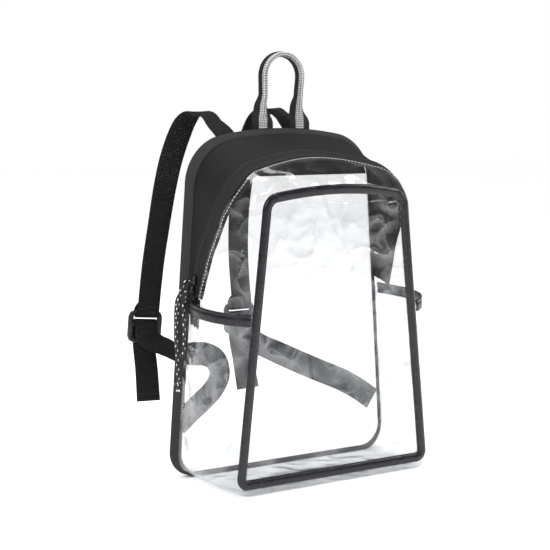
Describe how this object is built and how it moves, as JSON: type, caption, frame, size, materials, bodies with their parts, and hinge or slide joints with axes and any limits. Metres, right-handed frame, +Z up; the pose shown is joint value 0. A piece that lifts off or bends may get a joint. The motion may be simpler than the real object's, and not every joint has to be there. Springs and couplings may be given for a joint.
{
  "type": "clear stadium backpack",
  "caption": "Clear backpack with a black cloth top, an arched zip, a front pocket, side pockets, a grab handle and shoulder straps.",
  "frame": {"origin": "middle of the flat base, on the surface that the pack stands on", "axes": "+Z up to the handle, +Y to the back with the shoulder straps, +X to the right seen from the front"},
  "size_m": [0.2909, 0.1841, 0.4442],
  "materials": {
    "clear_plastic": "clear glossy film with soft folds",
    "black_cloth": "fine plain weave",
    "ribbed_binding": "ribbed tape",
    "zip_tape": "woven tape with a coil",
    "gloss_binding": "glossy, soft",
    "black_webbing": "cross-ribbed webbing",
    "striped_webbing": "black webbing with a pale flecked middle stripe",
    "black_plastic": "moulded, satin",
    "black_metal": "black coated",
    "flecked_cord": "braided cord with pale flecks"
  },
  "bodies": {
    "root": {"back_panel": "clear_plastic", "back_yoke": "black_cloth", "back_binding": "ribbed_binding", "top_gusset": "black_cloth", "main_zip": "zip_tape", "clear_gusset": "clear_plastic", "front_panel": "clear_plastic", "pocket_panel": "clear_plastic", "pocket_binding": "gloss_binding", "pocket_top_band": "gloss_binding", "side_pocket_left": "clear_plastic", "side_pocket_right": "clear_plastic", "side_band_left": "gloss_binding", "side_band_right": "gloss_binding", "shoulder_strap_left": "black_webbing", "shoulder_strap_right": "black_webbing", "buckle_left": "black_plastic", "buckle_right": "black_plastic", "lower_strap_left": "black_webbing", "lower_strap_right": "black_webbing", "grab_handle": "striped_webbing", "zip_slider_lower": "black_metal", "zip_slider_upper": "black_metal", "pull_cord_lower": "flecked_cord", "pull_cord_upper": "flecked_cord", "pull_knot": "flecked_cord", "zip_end_tab": "black_cloth"}
  },
  "joints": []
}
